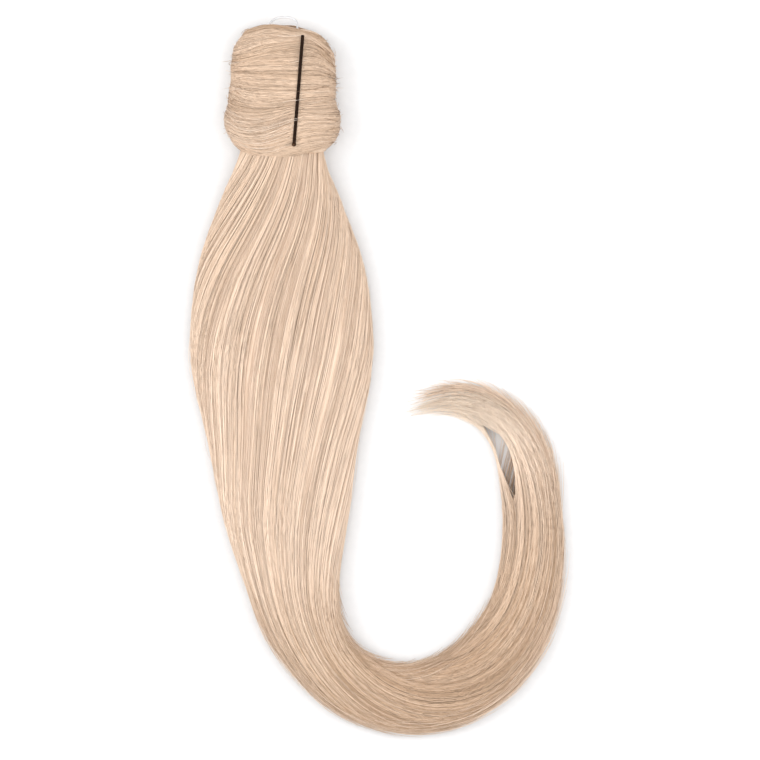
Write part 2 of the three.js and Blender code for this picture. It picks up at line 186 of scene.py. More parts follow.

# Lines of hair on the head's front, from its top down: the pixel rows of the photograph at which
# a line passes the stations below, how far the hair there stands out, and its tone. The dark tones
# of the top two lines are painted shade in the fold at the crown. A station is a share across the
# head, from -1 at its left edge to 1 at its right edge.
LINE_STATIONS = (-1, -0.75, -0.35, 0.25, 0.65, 1)
HEAD_LINES = np.array(
    [
        (30, 27, 25, 26.5, 30, 36, -0.9, -0.22),
        (33, 30, 27, 29, 32, 44, -1.0, -0.26),
        (38, 34, 30.5, 34, 35.5, 54, 0.2, 0.02),
        (48, 43, 39, 39, 39, 58, 0.5, 0.10),
        (56, 54, 47, 42.5, 42.5, 61, 0.6, 0.04),
        (60, 58.5, 53, 48, 48, 65, -0.1, -0.06),
        (62, 61, 58, 55, 54.5, 68, 0.0, 0.00),
        (66, 63.5, 62.5, 62, 61, 71, 0.1, 0.02),
        (70, 69, 68.5, 69, 68, 75, 0.2, 0.03),
        (73, 73, 74, 75.5, 75, 79, 0.1, -0.03),
        (76, 78, 80, 82, 81, 83, 0.2, 0.02),
        (80, 84, 87, 88, 87, 87, 0.2, 0.04),
        (85, 91, 94, 93.5, 92, 91, 0.1, 0.02),
        (90, 98, 102, 99, 97, 95, 0.1, 0.00),
        (99, 106, 109, 104, 101, 99, 0.0, -0.03),
        (107, 114, 115, 108, 106, 104, 0.2, 0.00),
        (114, 122, 122, 112, 111, 109, 0.3, 0.02),
        (121, 130, 129, 118, 116, 115, 0.3, 0.04),
        (127, 136, 136, 124, 122, 121, 0.3, 0.04),
        (132, 141, 142, 131, 128, 127, 0.2, 0.00),
        (137, 146, 147, 138, 134, 133, 0.1, -0.02),
        (141, 150, 152, 144, 139, 138, 0.1, 0.00),
        (146, 154, 156, 150, 145, 142, 0.2, 0.02),
        (151, 157, 159, 156.5, 152, 147, -0.1, -0.12),
    ]
)

# Where the hair at the head's edges and crown is gathered and painted darker and browner, as
# painted
# shade in the creases where it twists: a line, a share across, how far that reaches along both, and
# how strong the shade is.
GATHER_SHADES = np.array(
    [
        (4.9, 0.84, 0.9, 0.12, 0.2),
        (5.5, -0.97, 1.3, 0.2, 0.18),
        (14.2, -0.96, 1.1, 0.14, 0.16),
        (9.0, 0.97, 1.5, 0.12, 0.12),
        (16.5, 0.97, 1.4, 0.12, 0.14),
        (1.0, 0.0, 0.9, 0.6, 0.1),
    ]
)

# The pin and the loop, as in the model.
WRAP_LENGTH = 58.5
WRAP_WIDTH = 52
WRAP_DEPTH = 28
FLATTENED = 1.1
ROOT_CROWN = 1.6
PIN_LENGTH = 50
PIN_WIRE_WIDTH = 1.5
PIN_WIRE_DEPTH = 0.9
PIN_GAP = 2.4
PIN_WAVE = 0.5
PIN_WAVES = 7
PIN_BALL = 2
PIN_ASIDE = 7.4
PIN_INSET = 4.3
PIN_TILT = 4.6
PIN_SINK = 0.5
LOOP_WIDTH = 13.5
LOOP_RISE = 3.2
LOOP_CORD = 1
LOOP_HELD = 7
LOOP_ASIDE = 0.6
# The arc of the loop over the head's crown, in shares of its half width and of its rise.
LOOP_ARC = [
    (-1.0, -0.5),
    (-0.86, 0.25),
    (-0.55, 0.75),
    (-0.15, 0.97),
    (0.25, 1.0),
    (0.62, 0.86),
    (0.9, 0.4),
    (1.0, -0.3),
]

rng = np.random.default_rng(SEED)


def read(table, columns, column, at):
    """A column of a table at a place in its first column, on a smooth curve through its rows."""
    place, value = table[:, 0], table[:, columns.index(column)]
    before = np.r_[0, np.arange(len(place) - 1)]
    after = np.r_[np.arange(1, len(place)), len(place) - 1]
    slope = (value[after] - value[before]) / (place[after] - place[before])
    at = np.asarray(at, float)
    i = np.clip(np.searchsorted(place, at, side="right") - 1, 0, len(place) - 2)
    span = place[i + 1] - place[i]
    t = np.clip((at - place[i]) / span, 0, 1)
    rest = 1 - t
    return (
        value[i] * rest * rest * (1 + 2 * t)
        + value[i + 1] * t * t * (3 - 2 * t)
        + span * t * rest * (slope[i] * rest - slope[i + 1] * t)
    )


def ease(value, start, end):
    """0 before start, 1 after end, and smooth between them."""
    t = np.clip((value - start) / (end - start), 0, 1)
    return t * t * (3 - 2 * t)


def unit(vectors):
    """Vectors in the same directions, one long."""
    return vectors / np.maximum(np.linalg.norm(vectors, axis=-1, keepdims=True), 1e-9)


def wander(groups, group_of, run, cycles, size):
    """Smooth random drift along a run, alike for everything in the same group."""
    total = np.zeros(np.broadcast_shapes(run.shape, (len(group_of), 1)))
    for cycle in cycles:
        phase = rng.uniform(0, 2 * np.pi, groups)[group_of][:, None]
        reach = rng.normal(0, size / math.sqrt(len(cycles)), groups)[group_of][:, None]
        total = total + reach * np.sin(2 * np.pi * cycle * run + phase)
    return total


# Materials.

BUMP_METRES = 0.0001


def new_material(name):
    """A new material, its node tree and the shader in it."""
    material = bpy.data.materials.new(name)
    material.use_nodes = True
    tree = material.node_tree
    return material, tree, tree.nodes["Principled BSDF"]


def node(tree, kind, **values):
    """A new node of a kind, with values for its settings."""
    made = tree.nodes.new(kind)
    for key, value in values.items():
        setattr(made, key, value)
    return made


def ramp(tree, source, stops):
    """A colour ramp over a number, from stops of a place and a linear colour."""
    made = node(tree, "ShaderNodeValToRGB")
    elements = made.color_ramp.elements
    while len(elements) < len(stops):
        elements.new(0.5)
    for element, (place, colour) in zip(elements, stops):
        element.position = place
        element.color = (*colour, 1)
    tree.links.new(source, made.inputs["Fac"])
    return made.outputs["Color"]


def linear(red, green, blue):
    """A linear colour from one in 0 to 255."""
    return tuple(
        v / 12.92 if v <= 0.04045 else ((v + 0.055) / 1.055) ** 2.4
        for v in (red / 255, green / 255, blue / 255)
    )


def noise(tree, vector, scale, detail=2):
    """Noise between 0 and 1 over places."""
    made = node(tree, "ShaderNodeTexNoise")
    made.inputs["Scale"].default_value = scale
    made.inputs["Detail"].default_value = detail
    tree.links.new(vector, made.inputs["Vector"])
    return made.outputs["Fac"]


def specks(tree, scale, detail=2):
    """Noise over the places on an object, with its scale for metres."""
    place = node(tree, "ShaderNodeTexCoord")
    return noise(tree, place.outputs["Object"], scale, detail)


def vary_roughness(tree, shader, source, low, high):
    """Roughness from low to high, by a number from 0 to 1."""
    rough = node(tree, "ShaderNodeMapRange")
    tree.links.new(source, rough.inputs["Value"])
    rough.inputs["To Min"].default_value = low
    rough.inputs["To Max"].default_value = high
    tree.links.new(rough.outputs["Result"], shader.inputs["Roughness"])


def add_bump(tree, shader, source, strength):
    """A fine bump by a number from 0 to 1."""
    bump = node(tree, "ShaderNodeBump")
    bump.inputs["Strength"].default_value = strength
    bump.inputs["Distance"].default_value = BUMP_METRES
    tree.links.new(source, bump.inputs["Height"])
    tree.links.new(bump.outputs["Normal"], shader.inputs["Normal"])


def hair_material(name, shades, fine, roughness):
    """Hair whose colour follows each strand's tone, with fine flecks along it."""
    material, tree, shader = new_material(name)
    tone = node(tree, "ShaderNodeAttribute", attribute_name="tone")
    place = node(tree, "ShaderNodeAttribute", attribute_name="lay")
    flecks = noise(tree, place.outputs["Vector"], 1, 3)
    spread = node(tree, "ShaderNodeMath", operation="MULTIPLY_ADD")
    tree.links.new(flecks, spread.inputs[0])
    spread.inputs[1].default_value = fine
    spread.inputs[2].default_value = -fine / 2
    total = node(tree, "ShaderNodeMath", operation="ADD")
    tree.links.new(tone.outputs["Fac"], total.inputs[0])
    tree.links.new(spread.outputs[0], total.inputs[1])
    tree.links.new(ramp(tree, total.outputs[0], shades), shader.inputs["Base Color"])
    vary_roughness(tree, shader, flecks, roughness - 0.06, roughness + 0.06)
    add_bump(tree, shader, flecks, 0.25)
    shader.inputs["Specular IOR Level"].default_value = 0.22
    return material


TAIL_SHADES = (
    (0.0, linear(182, 153, 127)),
    (0.3, linear(214, 189, 166)),
    (0.6, linear(234, 212, 192)),
    (1.0, linear(250, 234, 216)),
)
WRAP_SHADES = (
    (0.0, linear(160, 129, 102)),
    (0.3, linear(197, 170, 145)),
    (0.6, linear(218, 193, 170)),
    (1.0, linear(247, 231, 215)),
)
tail_hair = hair_material("tail_hair", TAIL_SHADES, 0.26, 0.54)
wrap_hair = hair_material("wrap_hair", WRAP_SHADES, 0.18, 0.58)
tail_mass = hair_material("tail_mass", TAIL_SHADES, 1.1, 0.56)
wrap_mass = hair_material("wrap_mass", WRAP_SHADES, 1.1, 0.56)


# Meshes.


def mesh_object(name, vertices, quads, triangles, corners_uv, fields, material):
    """An object from vertices in millimetres, with numbers for each vertex as its fields."""
    mesh = bpy.data.meshes.new(name)
    loops = np.concatenate([quads.ravel(), triangles.ravel()]).astype(np.int32)
    starts = np.concatenate(
        [
            np.arange(len(quads)) * 4,
            len(quads) * 4 + np.arange(len(triangles)) * 3,
        ]
    ).astype(np.int32)
    mesh.vertices.add(len(vertices))
    mesh.vertices.foreach_set("co", (vertices * MM).astype(np.float32).ravel())
    mesh.loops.add(len(loops))
    mesh.loops.foreach_set("vertex_index", loops)
    mesh.polygons.add(len(starts))
    mesh.polygons.foreach_set("loop_start", starts)
    mesh.polygons.foreach_set("use_smooth", np.ones(len(starts), bool))
    mesh.update(calc_edges=True)
    for key, values in fields.items():
        kind, slot = ("FLOAT", "value") if values.ndim == 1 else ("FLOAT_VECTOR", "vector")
        field = mesh.attributes.new(key, kind, "POINT")
        field.data.foreach_set(slot, values.astype(np.float32).ravel())
    if corners_uv is not None:
        layer = mesh.uv_layers.new(name="OFBake")
        layer.uv.foreach_set("vector", corners_uv.astype(np.float32).ravel())
    mesh.materials.append(material)
    mesh.validate()
    made = bpy.data.objects.new(name, mesh)
    bpy.context.scene.collection.objects.link(made)
    return made


SIDES = 3
# How far the flecks' places differ from strand to strand, and how they stretch along one.
FLECKS_APART = 3.7
FLECKS_ALONG = 0.3


def strands(name, paths, outward, half_width, half_height, tone, material):
    """Closed three-sided strands as one mesh, each along its own row of points."""
    count, points = paths.shape[:2]
    along = unit(np.gradient(paths, axis=1))
    sideways = unit(np.cross(along, outward))
    up = np.cross(sideways, along)
    corners = [
        paths
        + (half_width * math.cos(angle))[..., None] * sideways
        + (half_height * math.sin(angle))[..., None] * up
        for angle in np.radians((90, 210, 330))
    ]
    vertices = np.stack(corners, axis=2).reshape(-1, 3)
    first = np.arange(count)[:, None, None] * points * SIDES
    here = first + np.arange(points - 1)[None, :, None] * SIDES
    c = np.arange(SIDES)[None, None, :]
    d = (c + 1) % SIDES
    quads = np.stack([here + c, here + SIDES + c, here + SIDES + d, here + d], axis=-1)
    start = first[:, 0, 0]
    end = start + (points - 1) * SIDES
    triangles = np.stack(
        [
            np.stack([start, start + 1, start + 2], axis=-1),
            np.stack([end, end + 2, end + 1], axis=-1),
        ],
        axis=1,
    )
    # Each strand has its own row of the map, with a third of the row for each of its sides.
    cap = 0.01
    rim, band = 0.04, 0.92
    row = np.arange(count)[:, None, None]
    share = cap + (1 - 2 * cap) * np.arange(points)[None, :, None] / (points - 1)
    low = (row + rim + band * c / SIDES) / count + 0 * share[:, :-1]
    high = (row + rim + band * (c + 1) / SIDES) / count + 0 * share[:, :-1]
    left = share[:, :-1] + 0 * low
    right = share[:, 1:] + 0 * low
    quads_uv = np.stack(
        [
            np.stack([left, low], axis=-1),
            np.stack([right, low], axis=-1),
            np.stack([right, high], axis=-1),
            np.stack([left, high], axis=-1),
        ],
        axis=3,
    )
    bottom = (np.arange(count) + 0.1) / count
    top = (np.arange(count) + 0.9) / count
    near, far = np.full(count, cap * 0.1), np.full(count, cap * 0.9)
    corner_uv = np.stack([near, bottom, near, top, far, bottom], axis=-1)
    triangles_uv = np.stack([corner_uv, 1 - corner_uv], axis=1)
    corners_uv = np.concatenate([quads_uv.reshape(-1, 2), triangles_uv.reshape(-1, 2)])
    travelled = np.cumsum(
        np.linalg.norm(np.diff(paths, axis=1, prepend=paths[:, :1]), axis=-1), axis=1
    )
    lay = np.stack(
        [
            np.broadcast_to(np.arange(count)[:, None] * FLECKS_APART, travelled.shape),
            travelled * FLECKS_ALONG,
            np.zeros_like(travelled),
        ],
        axis=-1,
    )
    fields = {
        "tone": np.repeat(tone.reshape(-1), SIDES),
        "lay": np.repeat(lay.reshape(-1, 3), SIDES, axis=0),
    }
    return mesh_object(
        name, vertices, quads.reshape(-1, 4), triangles.reshape(-1, 3), corners_uv, fields, material
    )


def lofted(name, rings, lay, tone, material):
    """A closed form over rings of points, capped at both ends by a point in its middle."""
    rows, sides = rings.shape[:2]
    caps = [rings[0].mean(0), rings[-1].mean(0)]
    vertices = np.concatenate([rings.reshape(-1, 3), caps])
    here = np.arange(rows - 1)[:, None] * sides
    c = np.arange(sides)[None]
    d = (c + 1) % sides
    quads = np.stack([here + c, here + sides + c, here + sides + d, here + d], axis=-1)
    last = (rows - 1) * sides
    c, d = c[0], d[0]
    first_cap = np.stack([c, d, np.full(sides, rows * sides)], axis=-1)
    last_cap = np.stack([last + d, last + c, np.full(sides, rows * sides + 1)], axis=-1)
    fields = {
        "tone": np.concatenate([tone.reshape(-1), [tone[0].mean(), tone[-1].mean()]]),
        "lay": np.concatenate([lay.reshape(-1, 3), lay[0].mean(0)[None], lay[-1].mean(0)[None]]),
    }
    return mesh_object(
        name,
        vertices,
        quads.reshape(-1, 4),
        np.concatenate([first_cap, last_cap]),
        None,
        fields,
        material,
    )


# The tail: places along it, then its strands, its core and its loose hairs.

RUNS = np.linspace(0, 1, 2401)
middles = (RUNS[1:] + RUNS[:-1]) / 2
headings = np.radians(read(TAIL_SECTIONS, TAIL_COLUMNS, "heading", middles))
steps = TAIL_LENGTH * np.diff(RUNS)
CENTRE_X = np.r_[0, np.cumsum(steps * np.sin(headings))]
CENTRE_Y = GRIP_Y - np.r_[0, np.cumsum(steps * np.cos(headings))]
HEADING = np.radians(read(TAIL_SECTIONS, TAIL_COLUMNS, "heading", RUNS))
HALF = TAIL_WIDTH / 2 * read(TAIL_SECTIONS, TAIL_COLUMNS, "half", RUNS)
DEPTH = TAIL_DEPTH * read(TAIL_SECTIONS, TAIL_COLUMNS, "depth", RUNS)
MIDDLE_Z = NECK_LIFT * read(TAIL_SECTIONS, TAIL_COLUMNS, "lift", RUNS) + SETTLE * DEPTH
TOP = (1 - SETTLE) * DEPTH


def on_tail(run, angle, under, rest=0.2, side=0):
    """Places on the tail at a run along it, an angle round its section and a depth under its
    skin, and the ways out of it there. A side is 1 for a strand that stays in the loose lock
    beside the gap, -1 for one that stays out of it, and 0 for one that may cross."""
    x, y, heading, half, top, middle = (
        np.interp(run, RUNS, row) for row in (CENTRE_X, CENTRE_Y, HEADING, HALF, TOP, MIDDLE_Z)
    )
    cos, sin = np.cos(angle), np.sin(angle)
    half = np.maximum(half, TIP_HALF * ease(run, *TIP_FILLS))
    across = np.maximum(half - under, half * LEAST_SHARE) * cos
    up = np.maximum(top - under, top * LEAST_SHARE) * sin
    share = (run - PARTING_FROM) / (PARTING_TO - PARTING_FROM)
    opening = ease(share, 0, PARTING_OPEN) * (1 - ease(share, PARTING_CLOSES, 1))
    gap = PARTING_WIDTH / 2 * opening
    off = across - half * PARTING_ACROSS
    kept = np.where(side > 0, np.maximum(off, 0), np.where(side < 0, np.minimum(off, -1e-3), off))
    off = off + (kept - off) * ease(opening, 0, 0.3)
    lock = half * (1 - PARTING_ACROSS)
    thin = np.maximum(1 - LOCK_PULLED * gap / lock, THINNEST_LOCK)
    aside = gap * np.exp(-np.abs(off) / PARTING_REACH)
    moved = np.where(off > 0, lock - (lock - off) * thin, off - aside)
    across = half * PARTING_ACROSS + moved
    z = np.maximum(middle + up, rest)
    inward = np.stack([np.cos(heading), np.sin(heading), np.zeros_like(heading)], axis=-1)
    centre = np.stack([x, y, z], axis=-1)
    outward = inward * (cos * top)[..., None]
    outward[..., 2] = sin * half
    return centre + inward * across[..., None], unit(outward)


def side_of_gap(run, angle, under):
    """1 for strands that are in the loose lock where the gap opens, and -1 for the others."""
    sided = run - (1 - SIDED_SHARE) * PARTING_FROM - SIDED_SHARE * PARTING_TO
    opened = np.argmin(np.abs(sided), axis=1)
    across = np.cos(angle) * np.maximum(1 - under / np.interp(run, RUNS, HALF), LEAST_SHARE)
    inward = across[np.arange(len(across)), opened]
    return np.where(inward > PARTING_ACROSS, 1, -1)[:, None]


# How flat a strand is, and how far the tone of a pale one may go.
FLAT_STRAND = 0.5
PALEST = 0.07


def muted(tone):
    """Tones with the pale ones drawn in, as pale hair is never far from the rest."""
    return np.where(tone > 0, PALEST * np.tanh(tone / PALEST), tone)


SECTION_FLATNESS = 0.42
ROUND_ANGLES = np.linspace(0, 2 * np.pi, 721)
round_steps = np.sqrt(np.sin(ROUND_ANGLES) ** 2 + (SECTION_FLATNESS * np.cos(ROUND_ANGLES)) ** 2)
ROUND_SHARES = np.r_[0, np.cumsum((round_steps[1:] + round_steps[:-1]) / 2)]
ROUND_SHARES /= ROUND_SHARES[-1]
TURN_SHARE = np.gradient(ROUND_SHARES, ROUND_ANGLES)[180]


def round_angle(share, run):
    """The angle round a tail section of a strand that starts at an even share of the way round."""
    turned = np.radians(read(TWIST, TWIST_COLUMNS, "turned", run)) * TURN_SHARE
    return np.interp((share + turned) % 1, ROUND_SHARES, ROUND_ANGLES)


# The stations of each strand's points: closer together where the tail bends or swells.
TAIL_STATIONS = np.concatenate(
    [
        np.linspace(0, 0.2, 12, endpoint=False),
        np.linspace(0.2, 0.45, 7, endpoint=False),
        np.linspace(0.45, 0.7, 14, endpoint=False),
        np.linspace(0.7, 1, 13),
    ]
)

# How the tail's strands lie. Depths under the skin are in millimetres, widths are half ones, tones
# are shares of the shades, runs are from and to, and a drift is its cycles and its size.
CLUMP_JITTER = 0.3
CLUMP_OVERLAP = 1.15
CLUMP_DRIFT = ((0.7, 1.3), 0.004)
CLUMP_SUNK = 0.12
CLUMP_ROUND = 0.09
CLUMP_TONE = 0.05
WISP_DRIFT = ((0.8, 1.7, 2.9), 0.26)
WISP_SUNK = 0.09
WISP_SUNK_DRIFT = ((1.5, 3.1), 0.07)
WISP_TONE = 0.055
STRAND_OFFSET = 0.22
STRAND_DRIFT = ((1.1, 2.3, 5.1), 0.1)
STRAND_SUNK = 0.02
STRAND_TONE = 0.055
STRAND_TONE_DRIFT = ((1.3, 3.7, 7.1), 0.07)
STRAND_WIDTHS = (0.095, 0.17)
STRAND_REST = (0.2, 1.2)
ENDS_SPREAD = 0.28
ENDS_BY_WISP = 0.3
ENDS_POWER = 1.3
ENDS_TAPER = 0.75
SKIN_DEPTH = 0.85
SKIN_POWER = 1.6
THIN_TOP = 9
LOOSE_RUN = (0.74, 0.9)
LOOSE_DEPTH = 0.9
LOOSE_POWER = 0.9
TIP_RUN = (0.86, 1)
TIP_SCATTER = 12
FRAY = 0.3
BROWN_SHARE = 0.1
BROWN_TONE = 0.2
# How much darker a strand is painted the deeper it lies: painted shade under the hair above it.
DEEP_SHADE = 0.1
TAIL_TONE = 0.56
STRAIGHT_VARIED = 0.8
CURL_VARIED = 1.1
CURL_FROM = (0.4, 0.5)
CURL_TO = (0.78, 0.88)


def tail_strands(name, count, clumps, wisps):
    """A share of the tail's strands. They lie in wisps, and the wisps in clumps."""
    clump_place = (np.arange(clumps) + rng.uniform(-CLUMP_JITTER, CLUMP_JITTER, clumps)) / clumps
    clump_sunk = rng.uniform(0, CLUMP_SUNK, clumps)
    clump_tone = rng.normal(0, CLUMP_TONE, clumps)
    wisp_clump = rng.integers(0, clumps, wisps)
    wisp_offset = rng.uniform(-1, 1, wisps)
    wisp_sunk = rng.uniform(0, WISP_SUNK, wisps)
    wisp_tone = rng.normal(0, WISP_TONE, wisps)
    wisp_end = rng.uniform(0, 1, wisps)
    wisp = rng.integers(0, wisps, count)
    clump = wisp_clump[wisp]
    each = np.arange(count)
    early = ENDS_BY_WISP * wisp_end[wisp] + (1 - ENDS_BY_WISP) * rng.uniform(0, 1, count)
    ends = 1 - ENDS_SPREAD * early**ENDS_POWER
    run = TAIL_STATIONS[None] * ends[:, None]

    breadth = CLUMP_OVERLAP / clumps / 2
    place = clump_place[clump][:, None] + wander(clumps, clump, run, *CLUMP_DRIFT)
    offset = wisp_offset[wisp][:, None] + wander(wisps, wisp, run, *WISP_DRIFT)
    own = rng.uniform(-1, 1, count)[:, None]
    offset = offset + STRAND_OFFSET * own + wander(count, each, run, *STRAND_DRIFT)
    offset = offset + TIP_SCATTER * own * ease(run, *TIP_RUN)
    angle = round_angle(place + breadth * offset, run)
    loose = ease(run, *LOOSE_RUN)
    layer = rng.uniform(0, 1, count)[:, None] ** (SKIN_POWER + LOOSE_POWER * loose)
    half_top = np.interp(run, RUNS, TOP)
    fill = SKIN_DEPTH + loose * np.maximum(LOOSE_DEPTH * half_top - SKIN_DEPTH, 0)
    under = (
        clump_sunk[clump][:, None]
        + CLUMP_ROUND * np.minimum(offset**2, 1.5)
        + wisp_sunk[wisp][:, None]
        + wander(wisps, wisp, run, *WISP_SUNK_DRIFT)
        + layer * fill
    )
    under = under * np.minimum(1, half_top / THIN_TOP) + rng.normal(0, STRAND_SUNK, run.shape)
    rest = rng.uniform(*STRAND_REST, count)[:, None]
    side = side_of_gap(run, angle, under)
    frayed = TIP_HALF * rng.uniform(-FRAY, 1, count)[:, None] * ease(run, *TIP_RUN)
    paths, outward = on_tail(run, angle, np.maximum(under, 0) + frayed, rest, side)

    taper = 1 - ENDS_TAPER * ease(TAIL_STATIONS[None], 0.89, 1)
    width = rng.uniform(*STRAND_WIDTHS, count)[:, None] * taper
    # Deeper strands are painted darker: painted shade under the hair above them.
    own_tone = (
        clump_tone[clump][:, None]
        + wisp_tone[wisp][:, None]
        + rng.normal(0, STRAND_TONE, count)[:, None]
        - BROWN_TONE * (rng.uniform(0, 1, count) < BROWN_SHARE)[:, None]
        + wander(count, each, run, *STRAND_TONE_DRIFT)
        - DEEP_SHADE * layer
    )
    varied = CURL_VARIED * ease(run, *CURL_FROM) * (1 - ease(run, *CURL_TO)) + STRAIGHT_VARIED
    # The tone along the tail carries painted shade through the curl and painted light at its end.
    tone = TAIL_TONE + read(TAIL_LIGHT_AND_SHADE, TONE_COLUMNS, "tone", run) + varied * muted(own_tone)
    return strands(name, paths, outward, width, width * FLAT_STRAND, tone, tail_hair)


TAIL_PARTS = 4
PART_STRANDS = 585
PART_CLUMPS = 66
PART_WISPS = 210
tail_pieces = [
    tail_strands(f"tail_strands_{part + 1}", PART_STRANDS, PART_CLUMPS, PART_WISPS)
    for part in range(TAIL_PARTS)
]

CORE_SIDES = 96
CORE_ROWS = 96
CORE_RUN = (0.004, 0.965)
CORE_CLOSING = (0.87, 0.965)
CORE_SUNK = 1.1
CORE_TONE = 0.5


def tail_core():
    """The mass of hair under the loose strands."""
    run = np.linspace(*CORE_RUN, CORE_ROWS)[:, None]
    angle = np.linspace(0, 2 * np.pi, CORE_SIDES, endpoint=False)[None]
    lines = wander(1, np.zeros(1, int), angle * 4, (3, 7, 11, 17), 0.2)
    lines = lines + wander(1, np.zeros(1, int), angle * 4 + run, (5, 13), 0.12)
    closed = 0.96 * ease(run, *CORE_CLOSING)
    under = CORE_SUNK + lines + closed * np.interp(run, RUNS, HALF)
    turned = np.radians(read(TWIST, TWIST_COLUMNS, "turned", run))
    points, _ = on_tail(run + 0 * angle, angle + turned, under, 0.35, -1)
    lay = np.stack(
        [angle * 75 + 0 * run, run * 22 + 0 * angle, np.zeros((CORE_ROWS, CORE_SIDES))], axis=-1
    )
    # The core takes the same painted light and shade along the tail.
    tone = CORE_TONE + read(TAIL_LIGHT_AND_SHADE, TONE_COLUMNS, "tone", run)
    tone = tone + 0.05 * np.sin(angle * 37 + 3 * np.sin(run * 9))
    return lofted("tail_core", points, lay, tone, tail_mass)


tail_pieces.append(tail_core())


def flyaways(name, count):
    """Single hairs that leave the tail's outline and come back, or stick out at its end."""
    run_from = rng.uniform(0.03, 0.93, count)
    run_from[: count // 3] = rng.uniform(0.6, 0.95, count // 3)
    length = rng.uniform(0.03, 0.14, count)
    share = np.linspace(0, 1, 12)[None]
    room = (1 - run_from) * rng.uniform(0.2, 1, count)
    run = run_from[:, None] + np.minimum(length, room)[:, None] * share
    edge = rng.choice([0.0, np.pi], count) + rng.normal(0, 0.35, count)
    middle = rng.uniform(0, 1, count) < 0.25
    edge = np.where(middle, rng.uniform(0.2, np.pi - 0.2, count), edge)
    angle = edge[:, None] + wander(count, np.arange(count), run, (1.1, 2.3), 0.05)
    out = np.minimum(rng.gamma(1.6, 0.45, count), 2)[:, None]
    free = (rng.uniform(0, 1, count) < 0.5)[:, None]
    bow = np.where(free, share**1.5, np.sin(np.pi * share))
    under = 0.6 - out * bow * np.where(middle[:, None], 0.5, 1)
    paths, outward = on_tail(run, angle, under, 0.2, side_of_gap(run, angle, under))
    width = rng.uniform(0.05, 0.09, count)[:, None] * (1 - 0.7 * ease(share, 0.7, 1))
    # The loose hairs take the same painted light and shade along the tail.
    tone = 0.62 + rng.normal(0, 0.1, count)[:, None] + read(TAIL_LIGHT_AND_SHADE, TONE_COLUMNS, "tone", run)
    return strands(name, paths, outward, width, width, tone, tail_hair)


tail_pieces.append(flyaways("tail_flyaways", 480))

OUTER, INNER = np.pi, 0
# Loose hairs along the curl's edges: a name, how many, the runs between which they start, about
# how far they stand off, their tone and the edge.
FRIZZ = (
    ("tail_tip_frizz", 340, 0.8, 0.96, 3.2, 0.45, OUTER),
    ("tail_curl_ends", 140, 0.57, 0.7, 1.8, 0.45, OUTER),
    ("tail_bend_frizz", 220, 0.4, 0.58, 1.4, 0.3, OUTER),
    ("tail_inner_frizz", 260, 0.4, 0.64, 1.7, 0.2, INNER),
)


def frizz(name, count, first, last, far, tone, edge):
    """Hairs that stand off an edge of the curl between two runs, to about so far."""
    share = np.linspace(0, 1, 8)[None]
    run_from = rng.uniform(first, last, count)[:, None]
    room = (1 - run_from) * rng.uniform(0.2, 1, count)[:, None]
    length = np.minimum(rng.uniform(0.03, 0.11, count)[:, None], room)
    run = run_from + length * share
    angle = edge + rng.normal(0, 0.5, count)[:, None] + 0 * share
    out = np.minimum(rng.gamma(1.5, far / 1.5, count), 1.8 * far)[:, None] * share**1.2
    under = 0.3 - out
    paths, outward = on_tail(run, angle, under, 0.3, side_of_gap(run, angle, under))
    width = rng.uniform(0.07, 0.12, count)[:, None] * (1 - 0.7 * ease(share, 0.6, 1))
    tone = tone + rng.normal(0, 0.15, count)[:, None] + 0 * share
    return strands(name, paths, outward, width, width, tone, tail_hair)


tail_pieces.extend(frizz(*row) for row in FRIZZ)


def gap_hairs(name, count):
    """Fine pale hairs that lie low in the gap beside the loose lock."""
    share = np.linspace(0, 1, 10)[None]
    start = rng.uniform(0.1, 0.6, count)[:, None]
    length = rng.uniform(0.3, 0.6, count)[:, None]
    run = PARTING_FROM + (PARTING_TO - PARTING_FROM) * (start + length * share)
    angle = np.arccos(PARTING_ACROSS) + 0 * run
    lock, outward = on_tail(run, angle, 3, 0.3, 1)
    body, _ = on_tail(run, angle, 3, 0.3, -1)
    weight = rng.uniform(0, 1, count)[:, None] + rng.normal(0, 0.2, count)[:, None] * share
    paths = lock + (body - lock) * np.clip(weight, 0, 1)[..., None]
    paths[..., 2] = rng.uniform(1, 6, count)[:, None] + 0 * share
    width = rng.uniform(0.08, 0.13, count)[:, None] + 0 * share
    tone = 0.95 + rng.normal(0, 0.05, count)[:, None] + 0 * share
    return strands(name, paths, outward, width, width * FLAT_STRAND, tone, tail_hair)


tail_pieces.append(gap_hairs("tail_gap_hairs", 100))


# The head: places on it, then its strands, its crossing end and its core.

HEAD_REST = 0.25
BACK_TOP = 29.0
BACK_BOTTOM = -28.0
# The columns of HEAD_LINES after those of the stations.
LINE_LIFT = 6
LINE_TONE = 7


def on_head(y, angle, under):
    """Places on the wound head at a height up it, an angle round it from its right-hand side and
    a depth under its skin, and the ways out of it there."""
    left, right, rise = (
        read(HEAD_SECTIONS, HEAD_COLUMNS, column, y) for column in ("left", "right", "rise")
    )
    half = (right - left) / 2 - under
    middle = (right + left) / 2
    cos, sin = np.cos(angle), np.sin(angle)
    z = np.maximum(HEAD_MIDDLE_Z + (rise - under) * sin, HEAD_REST)
    points = np.stack([middle + half * cos, y, z], axis=-1)
    outward = np.stack([cos * rise, np.zeros_like(y), sin * half], axis=-1)
    return points, unit(outward)


def line_value(line, column):
    """A column of the head's lines, at a line that may lie between two rows."""
    return np.interp(line, np.arange(len(HEAD_LINES)), HEAD_LINES[:, column])


